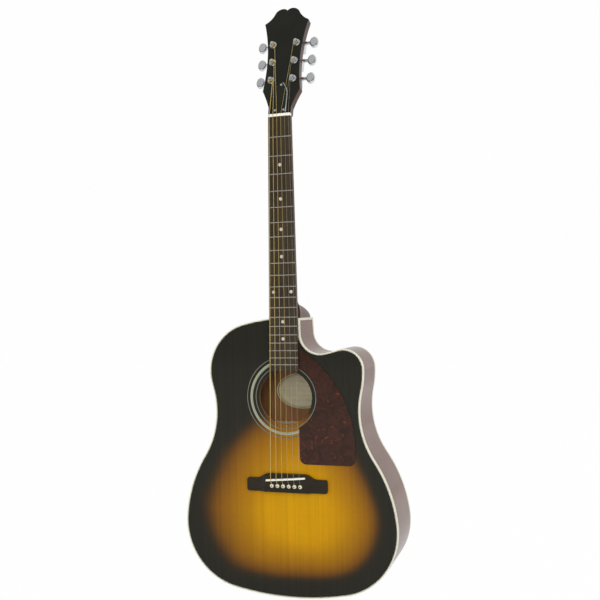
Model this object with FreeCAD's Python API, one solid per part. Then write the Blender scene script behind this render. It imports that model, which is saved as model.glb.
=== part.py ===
"""Steel-string acoustic guitar with a slope-shouldered body and one rounded cutaway.

Frame, in millimetres: +Z runs from the tail to the headstock, the soundboard faces -Y and
+X is the treble side. The origin is the seat of the end pin, on the centreline of the tail,
63 mm behind the soundboard.
"""
import FreeCAD, Part
import math
import os

V = FreeCAD.Vector

# ---- body ---------------------------------------------------------------------------
FRONT_Y = -63.0               # outer face of the soundboard
TAIL_DEPTH = 131.0            # soundboard to back at the tail
HEEL_DEPTH = 86.0             # soundboard to back at the neck joint
TOP_THICKNESS = 3.0
BACK_THICKNESS = 2.8
BACK_ARCH_RADIUS = 6500.0     # the back is a shallow barrel along the body
SIDE_THICKNESS = 2.8
BINDING_WIDTH = 1.7
BINDING_DEPTH = 6.5           # how far the binding reaches down the side
PURFLING_WIDTH = 1.3
TOP_INSET = BINDING_WIDTH + PURFLING_WIDTH
HEEL_STRIP_WIDTH = 4.4        # binding between the heel and the cutaway
LINING_WIDTH = 6.0
LINING_HEIGHT = 14.0
BLOCK_HALF_WIDTH = 38.0
TAIL_BLOCK_LENGTH = 22.0
NECK_BLOCK_LENGTH = 56.0

# The outline is a chain of tangent arcs from the tail: (radius, turn in degrees).
# A negative radius is hollow.
LOWER_BOUT = [(507.5, 11.85), (119.2, 83.11), (241.3, 28.15)]
WAIST_RADIUS = -152.8
BASS_SHOULDER = LOWER_BOUT + [(WAIST_RADIUS, 50.28), (89.0, 93.01), (367.0, 8.11)]
TREBLE_CUTAWAY = LOWER_BOUT + [
    (WAIST_RADIUS, 46.5), (164.5, 14.01), (36.4, 106.54), (-199.8, 7.57), (-36.3, 98.39)]

HOLE_Z = 357.4
HOLE_RADIUS = 49.5
ROSETTE_RINGS = [(55.3, 57.3), (62.0, 67.2), (71.7, 73.7)]   # inner and outer radii
ROSETTE_DEPTH = 1.2
PICKGUARD_THICKNESS = 1.4
PICKGUARD_HOLE_RADIUS = 58.5
PICKGUARD_LEFT = 25.0         # below the sound hole
PICKGUARD_UPPER_LEFT = 27.4   # above the sound hole
PICKGUARD_RIGHT = 126.3
PICKGUARD_BOTTOM_Z = 239.2
PICKGUARD_CORNER = 12.0
LABEL_SIZE = (100.0, 68.0)
LABEL_Z = 359.5
LABEL_THICKNESS = 0.3

# ---- strings and scale ---------------------------------------------------------------
SCALE = 647.7
SADDLE_Z = 212.5              # end of the scale
NUT_Z = SADDLE_Z + SCALE
FRETS = 20
BOARD_END_Z = 405.0
NUT_WIDTH = 42.2
BODY_BOARD_WIDTH = 54.6       # fingerboard width at its end over the soundboard
BOARD_RADIUS = 305.0
BOARD_HEIGHT_AT_SADDLE = 9.5  # the board's surface, carried on to the saddle, above the top
BOARD_HEIGHT_AT_NUT = 2.8
FRET_RADIUS = 1.1             # half-round crown
DOT_RADIUS = 3.0
DOT_DEPTH = 1.2
DOT_FRETS = [3, 5, 7, 9, 12, 15, 17]
DOUBLE_DOT_SPREAD = 16.5
STRING_DIAMETERS = [1.35, 1.07, 0.81, 0.61, 0.41, 0.30]   # bass to treble
NUT_SPREAD = 36.0
BRIDGE_SPREAD = 53.2
NUT_CLEARANCE = 0.45          # string above the first fret's crown, at the nut
SADDLE_TOP = 14.6             # string underside above the soundboard, at the middle
SADDLE_TILT = 0.5             # extra height at the outer bass string
GROOVE_CLEARANCE = 0.05

# ---- bridge --------------------------------------------------------------------------
BRIDGE_HALF = 75.3
BRIDGE_BOTTOM_Z = 189.3
BRIDGE_WING_Z = 213.0
BRIDGE_TOP_Z = 222.0
BRIDGE_HEIGHT = 9.0
BRIDGE_CORNER = 4.0
BRIDGE_SHELF = 32.5           # half width of the raised middle, at the top
BRIDGE_SWEEP = 58.0           # where its curve meets the wing
WING_HEIGHT = 4.6
SADDLE_LENGTH = 73.0
SADDLE_THICKNESS = 3.0
SADDLE_SLOPE = 0.08           # compensation: longer scale on the bass side
SADDLE_MID_Z = 213.4
SLOT_DEPTH = 5.0
PIN_Z = 200.3
PIN_RADIUS = 2.5
PIN_HOLE_RADIUS = 2.6
PIN_LENGTH = 17.0
PIN_HEAD_RADIUS = 3.6
PIN_HEAD_HEIGHT = 2.6
PIN_FLUTE = 0.85              # half width
PLATE_THICKNESS = 2.5
PLATE_HALF = 80.0
PLATE_Z = (184.0, 232.0)
BALL_RADIUS = 2.1

# ---- braces --------------------------------------------------------------------------
X_CENTRE_Z = 281.0
X_ANGLE = 41.0
X_LENGTH = 420.0
X_WIDTH = 8.0
X_HEIGHT = 14.0
CROSS_BRACE_Z = 425.0
TONE_BARS = [(28.0, 145.0, 170.0, 10.0), (22.0, 92.0, 200.0, 9.0)]   # x, z, length, height
TONE_BAR_ANGLE = 24.0
FINGER_BRACES = [(139.0, 205.0, 56.0), (118.0, 258.0, 34.0)]         # x, z, length
BACK_BRACES = [(82.0, 14.0), (172.0, 14.0), (298.0, 8.0), (408.0, 8.0)]   # z and width
BACK_BRACE_HEIGHT = 12.0

# ---- end pin -------------------------------------------------------------------------
PIN_SEAT_RADIUS = 6.5
PIN_NECK_RADIUS = 4.2
PIN_FLANGE_RADIUS = 7.2
PIN_STAND_OFF = 13.0

# ---- neck and headstock --------------------------------------------------------------
NECK_WOOD_AT_JOINT = 17.0
NECK_WOOD_AT_NUT = 13.6
NUT_THICKNESS = 5.0
HEAD_ANGLE = 16.5
HEAD_DROP = 1.0               # front of the veneer at the nut, ahead of the soundboard
HEAD_THICKNESS = 14.5
VENEER_THICKNESS = 1.6
# Heel sections: depth behind the soundboard, half width, reach beyond the body.
HEEL_SECTIONS = [
    (13.0, 26.5, 41.0), (21.0, 26.5, 32.0), (29.0, 26.4, 28.5), (38.0, 26.4, 27.0),
    (47.0, 26.3, 25.4), (56.0, 26.2, 23.4), (65.0, 26.0, 20.6), (74.0, 25.4, 17.0),
    (81.0, 24.4, 13.0), (HEEL_DEPTH, 22.4, 7.6)]
TENON = (24.0, 62.0, 20.0)    # width, depth and length of the neck's tenon
ROD_RADIUS = 2.75
ROD_CHANNEL = (5.8, 8.8)      # width and depth
ROD_NUT_FLATS = 7.0
ROD_NUT_LENGTH = 9.0
COVER_THICKNESS = 2.0

# ---- tuners, in the headstock's frame ------------------------------------------------
POSTS = [(20.7, 69.0), (20.8, 106.0), (22.6, 143.0)]      # x and distance from the nut
POST_RADIUS = 3.0
POST_WAIST_RADIUS = 2.6
POST_FRONT = -9.4
POST_GROOVE = (-8.4, -3.7)
RUNNING_CLEARANCE = 0.05
BUSHING_RADIUS = 4.8
HEX_FLATS = 10.8
HEX_HEIGHT = 2.4
WASHER_RADIUS = 6.7
WASHER_THICKNESS = 1.0
WHEEL_TEETH = 14
GEAR_MODULE = 0.8
WORM_OFFSET = 8.6             # worm axis above the post axis
WORM_DEPTH = 18.6             # both behind the face of the headstock
WHEEL_THICKNESS = 3.0
WORM_TURNS = 4
WORM_HALF_LENGTH = 7.4
WORM_CORE_RADIUS = 2.3
WORM_TIP_RADIUS = 3.4
SHAFT_RADIUS = 2.0
COLLAR_RADIUS = 3.1           # the shaft between the housing and the button
COLLAR_GROOVE_RADIUS = 2.5
COLLAR_GROOVES = [15.2, 16.6]
HOUSING_WALL = 1.5
HOUSING_BACK = 28.5
HOUSING_X = (-9.5, 10.5)
HOUSING_Z = (-9.0, 14.2)
BOSS_END_X = 14.0
BOSS_RADIUS = 3.6
TAB_HALF = 3.5
TAB_THICKNESS = 2.0
TAB_SCREW_Z = -12.0           # from the post
BUTTON_MID_X = 28.2           # from the post, at the widest place
BUTTON_INNER = 8.8            # from the widest place towards the foot
BUTTON_OUTER = 7.6
BUTTON_HALF_Z = 10.7
BUTTON_THICKNESS = 7.6
BUTTON_EDGE = 2.6
BUTTON_FOOT = 9.5
WINDING_TURNS = [2, 2, 3, 3, 4, 4]     # bass to treble
STRING_GAP = 0.35             # between a string's fixed end and the winding that turns

parts = {}


# ---- small builders ------------------------------------------------------------------
def line(a, b):
    return Part.makeLine(a, b)


def arc(a, b, c):
    return Part.Arc(a, b, c).toShape()


def flat(x, z, y=0.0):
    """A point of a front-view outline."""
    return V(x, y, z)


def prism(edges, y_low, y_high):
    """The outline's edges, drawn at y = 0, as a solid between two depths."""
    face = Part.Face(Part.Wire(edges))
    face.translate(V(0, y_low, 0))
    return face.extrude(V(0, y_high - y_low, 0))


def polygon(points):
    return [line(points[i - 1], points[i]) for i in range(len(points))]


def box(x_low, x_high, y_low, y_high, z_low, z_high):
    size = (x_high - x_low, y_high - y_low, z_high - z_low)
    return Part.makeBox(*size, V(x_low, y_low, z_low))


def rod(a, b, radius):
    return Part.makeCylinder(radius, (b - a).Length, a, b - a)


def tube(a, b, radius, bore):
    return rod(a, b, radius).cut(rod(a, b, bore))


def bent_wire(points, radius):
    """A round wire along a few straight runs, with a ball at each bend."""
    wire = rod(points[0], points[1], radius)
    for start, end in zip(points[1:], points[2:]):
        wire = wire.fuse([Part.makeSphere(radius, start), rod(start, end, radius)])
    return wire.removeSplitter()


def mirror_x(shape):
    return shape.mirror(V(0, 0, 0), V(1, 0, 0))


def fuse_all(shapes):
    return shapes[0].fuse(shapes[1:]) if len(shapes) > 1 else shapes[0]


def keep(name, *shapes):
    """Store a node: one solid, or a group of separate ones."""
    solids = [solid for shape in shapes for solid in shape.Solids]
    parts[name] = solids[0] if len(solids) == 1 else Part.makeCompound(solids)


# ---- body outline --------------------------------------------------------------------
def tangent_arcs(steps, inset):
    """Edges and last point of an arc chain from the tail, inset from the outline."""
    point = flat(0, inset)
    heading = 0.0
    edges = []
    for radius, turn in steps:
        reach = radius - inset
        swing = math.copysign(math.radians(turn), radius)
        centre = point + V(-math.sin(heading), 0, math.cos(heading)) * reach
        stops = []
        for angle in (heading + swing / 2, heading + swing):
            stops.append(centre + V(math.sin(angle), 0, -math.cos(angle)) * reach)
        edges.append(arc(point, stops[0], stops[1]))
        point = stops[1]
        heading += swing
    return edges, point


WALL_LEAN = math.tan(math.radians(sum(math.copysign(*step[::-1]) for step in TREBLE_CUTAWAY) - 90))


def body_outline(inset=0.0):
    treble, wall_foot = tangent_arcs(TREBLE_CUTAWAY, inset)
    bass, shoulder_end = tangent_arcs(BASS_SHOULDER, inset)
    shoulder_end.x = -shoulder_end.x
    wall_top = flat(wall_foot.x - (shoulder_end.z - wall_foot.z) * WALL_LEAN, shoulder_end.z)
    bass = [mirror_x(edge) for edge in reversed(bass)]
    return treble + [line(wall_foot, wall_top), line(wall_top, shoulder_end)] + bass


BODY_TOP_Z = tangent_arcs(BASS_SHOULDER, 0.0)[1].z
WALL_FOOT = tangent_arcs(TREBLE_CUTAWAY, 0.0)[1]
CUTAWAY_WALL_X = WALL_FOOT.x - (BODY_TOP_Z - WALL_FOOT.z) * WALL_LEAN   # at the neck
BACK_LEAN = math.atan2(TAIL_DEPTH - HEEL_DEPTH, BODY_TOP_Z)
WIDE = 300.0                  # reaches past the body on every side


def body_prism(inset, y_low=FRONT_Y, y_high=WIDE):
    return prism(body_outline(inset), y_low, y_high)


def within_back(depth):
    """Everything in front of the back's surface, moved inwards by depth."""
    normal = V(0, math.cos(BACK_LEAN), math.sin(BACK_LEAN))
    along = V(0, -math.sin(BACK_LEAN), math.cos(BACK_LEAN))
    base = V(0, FRONT_Y + TAIL_DEPTH, 0) - normal * BACK_ARCH_RADIUS - along * WIDE
    return Part.makeCylinder(BACK_ARCH_RADIUS - depth, 4 * WIDE, base, along)


# ---- body shell ----------------------------------------------------------------------
def slab(y_low, y_high):
    """Everything between two depths."""
    return box(-WIDE, WIDE, y_low, y_high, -WIDE, 2 * WIDE)


def make_shell():
    outer = body_prism(0.0).common(within_back(0))
    inside = body_prism(BINDING_WIDTH)
    ring = outer.cut(inside)
    below_binding = FRONT_Y + BINDING_DEPTH
    front_ring = ring.common(slab(FRONT_Y, below_binding))
    back_ring = ring.cut(within_back(BINDING_DEPTH))
    purfling = inside.cut(body_prism(TOP_INSET)).common(slab(FRONT_Y, FRONT_Y + TOP_THICKNESS))
    strip_low = BODY_TOP_Z - HEEL_STRIP_WIDTH
    strip = outer.cut(body_prism(SIDE_THICKNESS)).common(within_back(BINDING_DEPTH))
    strip = strip.common(box(BLOCK_HALF_WIDTH / 2, WIDE, below_binding, WIDE, strip_low, 2 * WIDE))
    strip = strip.cut(box(0, CUTAWAY_WALL_X - SIDE_THICKNESS, -WIDE, WIDE, 0, 2 * WIDE))
    side = outer.cut(body_prism(SIDE_THICKNESS)).common(within_back(BACK_THICKNESS))
    side = side.cut(slab(FRONT_Y, FRONT_Y + TOP_THICKNESS))
    side = side.cut([front_ring, back_ring, strip, tenon_block(), end_pin_screw()])
    top_wall = box(0, CUTAWAY_WALL_X - SIDE_THICKNESS, -WIDE, WIDE, strip_low, 2 * WIDE)
    bass_part = box(-WIDE, 0, -WIDE, WIDE, -WIDE, 2 * WIDE).fuse(top_wall)
    keep("binding_top", front_ring.cut(tenon_block()), purfling.cut(tenon_block()))
    keep("binding_back", back_ring, strip)
    keep("side_bass", side.common(bass_part).removeSplitter())
    keep("side_treble", side.cut(bass_part))
    back = inside.common(within_back(0)).cut(within_back(BACK_THICKNESS))
    keep("back_plate", back)


def make_soundboard():
    board = body_prism(TOP_INSET, FRONT_Y, FRONT_Y + TOP_THICKNESS)
    board = board.cut(around_hole(0, HOLE_RADIUS, TOP_THICKNESS))
    rings = []
    for inner, outer in ROSETTE_RINGS:
        rings.append(around_hole(inner, outer, ROSETTE_DEPTH))
    board = board.cut(fuse_all(rings))
    keep("soundboard", board.cut(pin_holes()))
    keep("rosette_rings", *rings)


def around_hole(inner, outer, depth):
    """A disc or ring let into the soundboard about the sound hole."""
    start = flat(0, HOLE_Z, FRONT_Y)
    end = flat(0, HOLE_Z, FRONT_Y + depth)
    if inner == 0:
        return rod(start, end, outer)
    return tube(start, end, outer, inner)


def make_pickguard():
    hole_edge = PICKGUARD_HOLE_RADIUS
    left, upper_left = PICKGUARD_LEFT, PICKGUARD_UPPER_LEFT
    right, bottom = PICKGUARD_RIGHT, PICKGUARD_BOTTOM_Z
    corner = PICKGUARD_CORNER
    nook = corner * (1 - math.sqrt(0.5))
    lower_z = HOLE_Z - math.sqrt(hole_edge ** 2 - left ** 2)
    upper_z = HOLE_Z + math.sqrt(hole_edge ** 2 - upper_left ** 2)
    tip = flat(upper_left, 444.8)
    shoulder = flat(88.0, 387.3)
    flank = flat(right, 280.0)
    heel = flat(right - 0.3, bottom + corner)
    low_right = flat(right - corner, bottom)
    low_left = flat(left + corner, bottom)
    edges = [
        arc(flat(left, lower_z), flat(hole_edge, HOLE_Z), flat(upper_left, upper_z)),
        line(flat(upper_left, upper_z), tip),
        arc(tip, flat(59.5, 420.6), shoulder),
        arc(shoulder, flat(113.6, 341.0), flank),
        arc(flank, flat(right + 0.2, 266.0), heel),
        arc(heel, flat(right - nook, bottom + nook), low_right),
        line(low_right, low_left),
        arc(low_left, flat(left + nook, bottom + nook), flat(left, bottom + corner)),
        line(flat(left, bottom + corner), flat(left, lower_z))]
    keep("pickguard", prism(edges, FRONT_Y - PICKGUARD_THICKNESS, FRONT_Y))


# ---- body structure ------------------------------------------------------------------
def tenon_block():
    width, depth, length = TENON
    return box(-width / 2, width / 2, FRONT_Y + TOP_THICKNESS, FRONT_Y + depth,
               BODY_TOP_Z - length, BODY_TOP_Z)


def end_blocks():
    """The solid blocks that the sides are glued to at the tail and the neck."""
    inside = body_prism(SIDE_THICKNESS, FRONT_Y + TOP_THICKNESS)
    inside = inside.common(within_back(BACK_THICKNESS))
    half = BLOCK_HALF_WIDTH
    tail = inside.common(box(-half, half, -WIDE, WIDE, 0, TAIL_BLOCK_LENGTH))
    neck_low = BODY_TOP_Z - NECK_BLOCK_LENGTH
    neck = inside.common(box(-half, half, -WIDE, WIDE, neck_low, BODY_TOP_Z))
    return tail, neck


def make_blocks_and_linings():
    tail, neck = end_blocks()
    keep("tail_block", tail.cut(end_pin_screw()))
    keep("neck_block", neck.cut(tenon_block()))
    under_top = FRONT_Y + TOP_THICKNESS
    outer = body_prism(SIDE_THICKNESS, under_top)
    ring = outer.cut(body_prism(SIDE_THICKNESS + LINING_WIDTH, under_top)).cut(tail).cut(neck)
    front = ring.common(slab(under_top, under_top + LINING_HEIGHT))
    back = ring.common(within_back(BACK_THICKNESS))
    back = back.cut(within_back(BACK_THICKNESS + LINING_HEIGHT))
    keep("kerfed_linings", front, back)


def bar(x, z, length, angle, width, height):
    """A straight brace under the soundboard; the angle is from the X axis."""
    block = Part.makeBox(length, height, width, V(-length / 2, 0, -width / 2))
    block.rotate(V(0, 0, 0), V(0, 1, 0), -angle)
    block.translate(V(x, FRONT_Y + TOP_THICKNESS, z))
    return block


def brace_shapes():
    legs = []
    for turn in (X_ANGLE, -X_ANGLE):
        legs.append(bar(0, X_CENTRE_Z, X_LENGTH, turn, X_WIDTH, X_HEIGHT))
    lap = legs[0].common(legs[1])
    front_half = slab(-WIDE, FRONT_Y + TOP_THICKNESS + X_HEIGHT / 2)
    legs[0] = legs[0].cut(lap.common(front_half))
    legs[1] = legs[1].cut(lap.cut(front_half))
    others = [bar(0, CROSS_BRACE_Z, WIDE, 0, 10, 16)]
    for x, z, length, height in TONE_BARS:
        others.append(bar(x, z, length, TONE_BAR_ANGLE, 7, height))
    for x, z, length in FINGER_BRACES:
        for side in (-1, 1):
            others.append(bar(side * x, z, length, side * X_ANGLE, 6, 8))
    return legs + others


def make_braces():
    under_top = FRONT_Y + TOP_THICKNESS
    room = body_prism(SIDE_THICKNESS + LINING_WIDTH, under_top)
    braces = [brace.common(room) for brace in brace_shapes()]
    keep("soundboard_braces", *braces)
    plate = box(-PLATE_HALF, PLATE_HALF, under_top, under_top + PLATE_THICKNESS, *PLATE_Z)
    plate = plate.cut(fuse_all(braces)).cut(pin_holes())
    keep("bridge_plate", max(plate.Solids, key=lambda solid: solid.Volume))
    strips = []
    for z, width in BACK_BRACES:
        strip = room.common(box(-WIDE, WIDE, -WIDE, WIDE, z - width / 2, z + width / 2))
        strip = strip.common(within_back(BACK_THICKNESS))
        strips.append(strip.cut(within_back(BACK_THICKNESS + BACK_BRACE_HEIGHT)))
    keep("back_braces", *strips)


def make_label():
    width, height = LABEL_SIZE
    ellipse = Part.Ellipse(V(0, 0, 0), width / 2, height / 2).toShape()
    ellipse.rotate(V(0, 0, 0), V(1, 0, 0), 90)
    ellipse.translate(flat(0, LABEL_Z))
    paper = prism([ellipse], 0, WIDE).common(within_back(BACK_THICKNESS))
    keep("label", paper.cut(within_back(BACK_THICKNESS + LABEL_THICKNESS)))


# ---- end pin -------------------------------------------------------------------------
def end_pin_screw():
    shank = rod(V(0, 0, 1 - PIN_STAND_OFF), V(0, 0, 20), 1.7)
    return shank.fuse(Part.makeCone(3.4, 1.7, 2.4, V(0, 0, -PIN_STAND_OFF), V(0, 0, 1)))


def make_end_pin():
    """A seat, a waist for the strap and a flange, as radii down the axis."""
    end = -PIN_STAND_OFF
    profile = [
        V(0, 0, 0), V(PIN_SEAT_RADIUS, 0, 0), V(PIN_SEAT_RADIUS, 0, -1.6),
        V(PIN_NECK_RADIUS, 0, -4), V(PIN_NECK_RADIUS, 0, end + 4.6),
        V(PIN_FLANGE_RADIUS, 0, end + 2.6), V(PIN_FLANGE_RADIUS, 0, end + 1),
        V(PIN_FLANGE_RADIUS - 1.2, 0, end), V(0, 0, end)]
    knob = Part.Face(Part.Wire(polygon(profile))).revolve(V(0, 0, 0), V(0, 0, 1), 360)
    keep("end_pin", knob.cut(end_pin_screw()))


# ---- strings -------------------------------------------------------------------------
def string_height(x, base):
    """Underside of a string above the soundboard: the set follows the board's radius."""
    return base - x * x / (2 * BOARD_RADIUS)


def string_path(index):
    """Ball end, pin hole, saddle, nut, post."""
    radius = STRING_DIAMETERS[index] / 2
    share = index / 5 - 0.5
    bridge_x = share * BRIDGE_SPREAD
    nut_x = share * NUT_SPREAD
    side = -1 if index < 3 else 1
    post_x, post_s = POSTS[index if index < 3 else 5 - index]
    under_plate = FRONT_Y + TOP_THICKNESS + PLATE_THICKNESS
    flute_z = PIN_Z + PIN_RADIUS - 0.75
    tilt = SADDLE_TILT * -2 * share
    saddle_up = string_height(bridge_x, SADDLE_TOP + tilt) + radius
    nut_base = BOARD_HEIGHT_AT_NUT + FRET_RADIUS + NUT_CLEARANCE
    nut_up = string_height(nut_x, nut_base) + radius
    saddle_z = SADDLE_MID_Z + SADDLE_SLOPE * bridge_x
    beside_post = POST_WAIST_RADIUS + 3 * radius + STRING_GAP
    end = on_head(V(side * (post_x - beside_post), POST_GROOVE[1] - radius - 0.6, post_s))
    return [
        V(bridge_x, under_plate + BALL_RADIUS + 0.02, PIN_Z + 5.1),
        V(bridge_x, under_plate + 0.9, flute_z),
        V(bridge_x, FRONT_Y - BRIDGE_HEIGHT + 0.3, flute_z),
        V(bridge_x, FRONT_Y - saddle_up, saddle_z),
        V(nut_x, FRONT_Y - nut_up, NUT_Z + NUT_THICKNESS / 2),
        end]


def string_wire(index, extra=0.0):
    return bent_wire(string_path(index), STRING_DIAMETERS[index] / 2 + extra)


def make_strings():
    for index in range(6):
        centre = string_path(index)[0]
        half = V(1.6, 0, 0)
        ball = rod(centre - half, centre + half, BALL_RADIUS)
        keep(f"string_{6 - index}", string_wire(index).fuse(ball))


def grooves():
    """The strings with a little room round them, to cut their grooves."""
    return Part.makeCompound([string_wire(index, GROOVE_CLEARANCE) for index in range(6)])


# ---- bridge --------------------------------------------------------------------------
def pin_holes():
    holes = []
    for index in range(6):
        x = (index / 5 - 0.5) * BRIDGE_SPREAD
        start, end = flat(x, PIN_Z, FRONT_Y - 20), flat(x, PIN_Z, FRONT_Y + 10)
        holes.append(rod(start, end, PIN_HOLE_RADIUS))
    return Part.makeCompound(holes)


def bridge_outline():
    """Straight towards the tail, with a raised middle towards the sound hole."""
    half, end = BRIDGE_HALF, BRIDGE_CORNER
    low, wing, top = BRIDGE_BOTTOM_Z, BRIDGE_WING_Z, BRIDGE_TOP_Z
    nook = end * (1 - math.sqrt(0.5))
    mid_x, mid_z = (BRIDGE_SHELF + BRIDGE_SWEEP) / 2, (wing + top) / 2
    bow_x, bow_z = 6.0, 3.3
    right = [
        arc(flat(half - end, low), flat(half - nook, low + nook), flat(half, low + end)),
        line(flat(half, low + end), flat(half, wing - end)),
        arc(flat(half, wing - end), flat(half - nook, wing - nook), flat(half - end, wing)),
        line(flat(half - end, wing), flat(BRIDGE_SWEEP, wing)),
        arc(flat(BRIDGE_SWEEP, wing), flat(mid_x + bow_x, mid_z - bow_z), flat(mid_x, mid_z)),
        arc(flat(mid_x, mid_z), flat(mid_x - bow_x, mid_z + bow_z), flat(BRIDGE_SHELF, top))]
    left = [mirror_x(edge) for edge in reversed(right)]
    upper = line(flat(BRIDGE_SHELF, top), flat(-BRIDGE_SHELF, top))
    lower = line(flat(-half + end, low), flat(half - end, low))
    return right + [upper] + left + [lower]


def wing_scoop(side):
    """The space above a wing, with a hollow curve up to the middle of the bridge."""
    front = FRONT_Y - BRIDGE_HEIGHT
    low = FRONT_Y - WING_HEIGHT
    z = BRIDGE_BOTTOM_Z - 5
    inner, outer = V(side * 41, front, z), V(side * 57, low, z)
    hollow = V(side * 47.5, low - 1.2, z)
    tip = V(side * 90, low - 0.4, z)
    above = front - 5
    edges = [
        arc(inner, hollow, outer), line(outer, tip), line(tip, V(side * 90, above, z)),
        line(V(side * 90, above, z), V(side * 41, above, z)),
        line(V(side * 41, above, z), inner)]
    return Part.Face(Part.Wire(edges)).extrude(V(0, 0, 50))


def saddle_blank(top):
    """The saddle, or its slot, before it is turned to the compensation angle."""
    half = SADDLE_LENGTH / 2
    bottom = FRONT_Y - BRIDGE_HEIGHT + SLOT_DEPTH
    rise = SADDLE_TILT * half / (BRIDGE_SPREAD / 2)
    sag = half ** 2 / (2 * BOARD_RADIUS)
    z = -SADDLE_THICKNESS / 2
    left = V(-half, FRONT_Y - top - rise + sag, z)
    right = V(half, FRONT_Y - top + rise + sag, z)
    edges = [
        line(V(-half, bottom, z), left), arc(left, V(0, FRONT_Y - top, z), right),
        line(right, V(half, bottom, z)), line(V(half, bottom, z), V(-half, bottom, z))]
    blank = Part.Face(Part.Wire(edges)).extrude(V(0, 0, SADDLE_THICKNESS))
    blank.rotate(V(0, 0, 0), V(0, 1, 0), -math.degrees(math.atan(SADDLE_SLOPE)))
    blank.translate(V(0, 0, SADDLE_MID_Z))
    return blank


def make_bridge():
    cut_paths = grooves()
    saddle = saddle_blank(SADDLE_TOP + 0.3)
    bridge = prism(bridge_outline(), FRONT_Y - BRIDGE_HEIGHT, FRONT_Y)
    bridge = bridge.cut([wing_scoop(-1), wing_scoop(1), saddle, pin_holes(), cut_paths])
    keep("bridge", bridge)
    keep("saddle", saddle.cut(cut_paths))
    pins = []
    for index in range(6):
        pins.append(bridge_pin((index / 5 - 0.5) * BRIDGE_SPREAD).cut(cut_paths))
    keep("bridge_pins", *pins)


def bridge_pin(x):
    """A round-headed pin with a flute for its string, facing the saddle."""
    seat = FRONT_Y - BRIDGE_HEIGHT
    dome = (PIN_HEAD_RADIUS ** 2 + PIN_HEAD_HEIGHT ** 2) / (2 * PIN_HEAD_HEIGHT)
    head = Part.makeSphere(dome, V(x, seat - PIN_HEAD_HEIGHT + dome, PIN_Z))
    head = head.common(rod(V(x, seat - 10, PIN_Z), V(x, seat, PIN_Z), PIN_HEAD_RADIUS + 1))
    shank = rod(V(x, seat, PIN_Z), V(x, seat + PIN_LENGTH, PIN_Z), PIN_RADIUS)
    flute = box(x - PIN_FLUTE, x + PIN_FLUTE, seat, seat + PIN_LENGTH + 1, PIN_Z + 0.9, PIN_Z + 5)
    return head.fuse(shank).cut(flute)


# ---- fingerboard ---------------------------------------------------------------------
BOARD_SLOPE = (BOARD_HEIGHT_AT_SADDLE - BOARD_HEIGHT_AT_NUT) / SCALE


def fret_z(number):
    return SADDLE_Z + SCALE * 2 ** (-number / 12)


def board_y(z):
    """The crown of the fingerboard."""
    return FRONT_Y - BOARD_HEIGHT_AT_SADDLE + BOARD_SLOPE * (z - SADDLE_Z)


def board_half(z):
    share = (z - BOARD_END_Z) / (NUT_Z - BOARD_END_Z)
    return (BODY_BOARD_WIDTH + share * (NUT_WIDTH - BODY_BOARD_WIDTH)) / 2


BOARD_SEAT_SHIFT = FRONT_Y - board_y(BODY_TOP_Z)


def seat_y(z):
    """The glue face between the neck and the fingerboard."""
    return board_y(z) + BOARD_SEAT_SHIFT


def board_along():
    return V(0, BOARD_SLOPE, 1).normalize()


def board_out():
    return V(0, -1, BOARD_SLOPE).normalize()


def board_cylinder():
    """The round surface that the fingerboard and the frets follow."""
    base = V(0, board_y(BOARD_END_Z), BOARD_END_Z) - board_out() * BOARD_RADIUS
    return Part.makeCylinder(BOARD_RADIUS, 800, base - board_along() * 100, board_along())


def board_taper(y_low, y_high):
    low, high = board_half(BOARD_END_Z), board_half(NUT_Z)
    corners = [
        flat(-low, BOARD_END_Z), flat(low, BOARD_END_Z), flat(high, NUT_Z), flat(-high, NUT_Z)]
    return prism(polygon(corners), y_low, y_high)


def dot_places():
    for fret in DOT_FRETS:
        z = (fret_z(fret) + fret_z(fret - 1)) / 2
        offsets = (-DOUBLE_DOT_SPREAD, DOUBLE_DOT_SPREAD) if fret == 12 else (0,)
        for x in offsets:
            yield x, z


def make_fingerboard():
    profile = [
        V(-WIDE, FRONT_Y - 20, BOARD_END_Z), V(-WIDE, FRONT_Y, BOARD_END_Z),
        V(-WIDE, FRONT_Y, BODY_TOP_Z), V(-WIDE, seat_y(NUT_Z), NUT_Z),
        V(-WIDE, FRONT_Y - 20, NUT_Z)]
    slab = Part.Face(Part.Wire(polygon(profile))).extrude(V(2 * WIDE, 0, 0))
    surface = board_cylinder()
    board = slab.common(board_taper(FRONT_Y - 20, FRONT_Y + 20)).common(surface)
    dots = []
    for x, z in dot_places():
        face = board_y(z) + x * x / (2 * BOARD_RADIUS)
        dots.append(rod(flat(x, z, face - 2), flat(x, z, face + DOT_DEPTH), DOT_RADIUS))
    keep("fingerboard", board.cut(Part.makeCompound(dots)))
    keep("position_dots", *[dot.common(surface) for dot in dots])
    keep("frets", *[fret_wire(number, surface) for number in range(1, FRETS + 1)])


def fret_wire(number, surface):
    """A half-round bead that follows the fingerboard's surface."""
    z = fret_z(number)
    centre = V(0, board_y(z), z) - board_out() * BOARD_RADIUS
    ring = Part.makeTorus(BOARD_RADIUS, FRET_RADIUS, centre, board_along())
    half = board_half(z)
    near = box(-half, half, FRONT_Y - 30, FRONT_Y + 10, z - 5, z + 5)
    return ring.common(near).cut(surface)


# ---- neck ----------------------------------------------------------------------------
def neck_section(z, half, front, depth):
    """A flat front with a half-oval back, as a closed wire across the neck."""
    points = []
    for step in range(13):
        angle = math.pi * step / 12
        points.append(V(half * math.cos(angle), front + depth * math.sin(angle) ** 0.85, z))
    back = Part.BSplineCurve()
    back.interpolate(points)
    return Part.Wire([back.toShape(), line(points[-1], points[0])])


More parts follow.
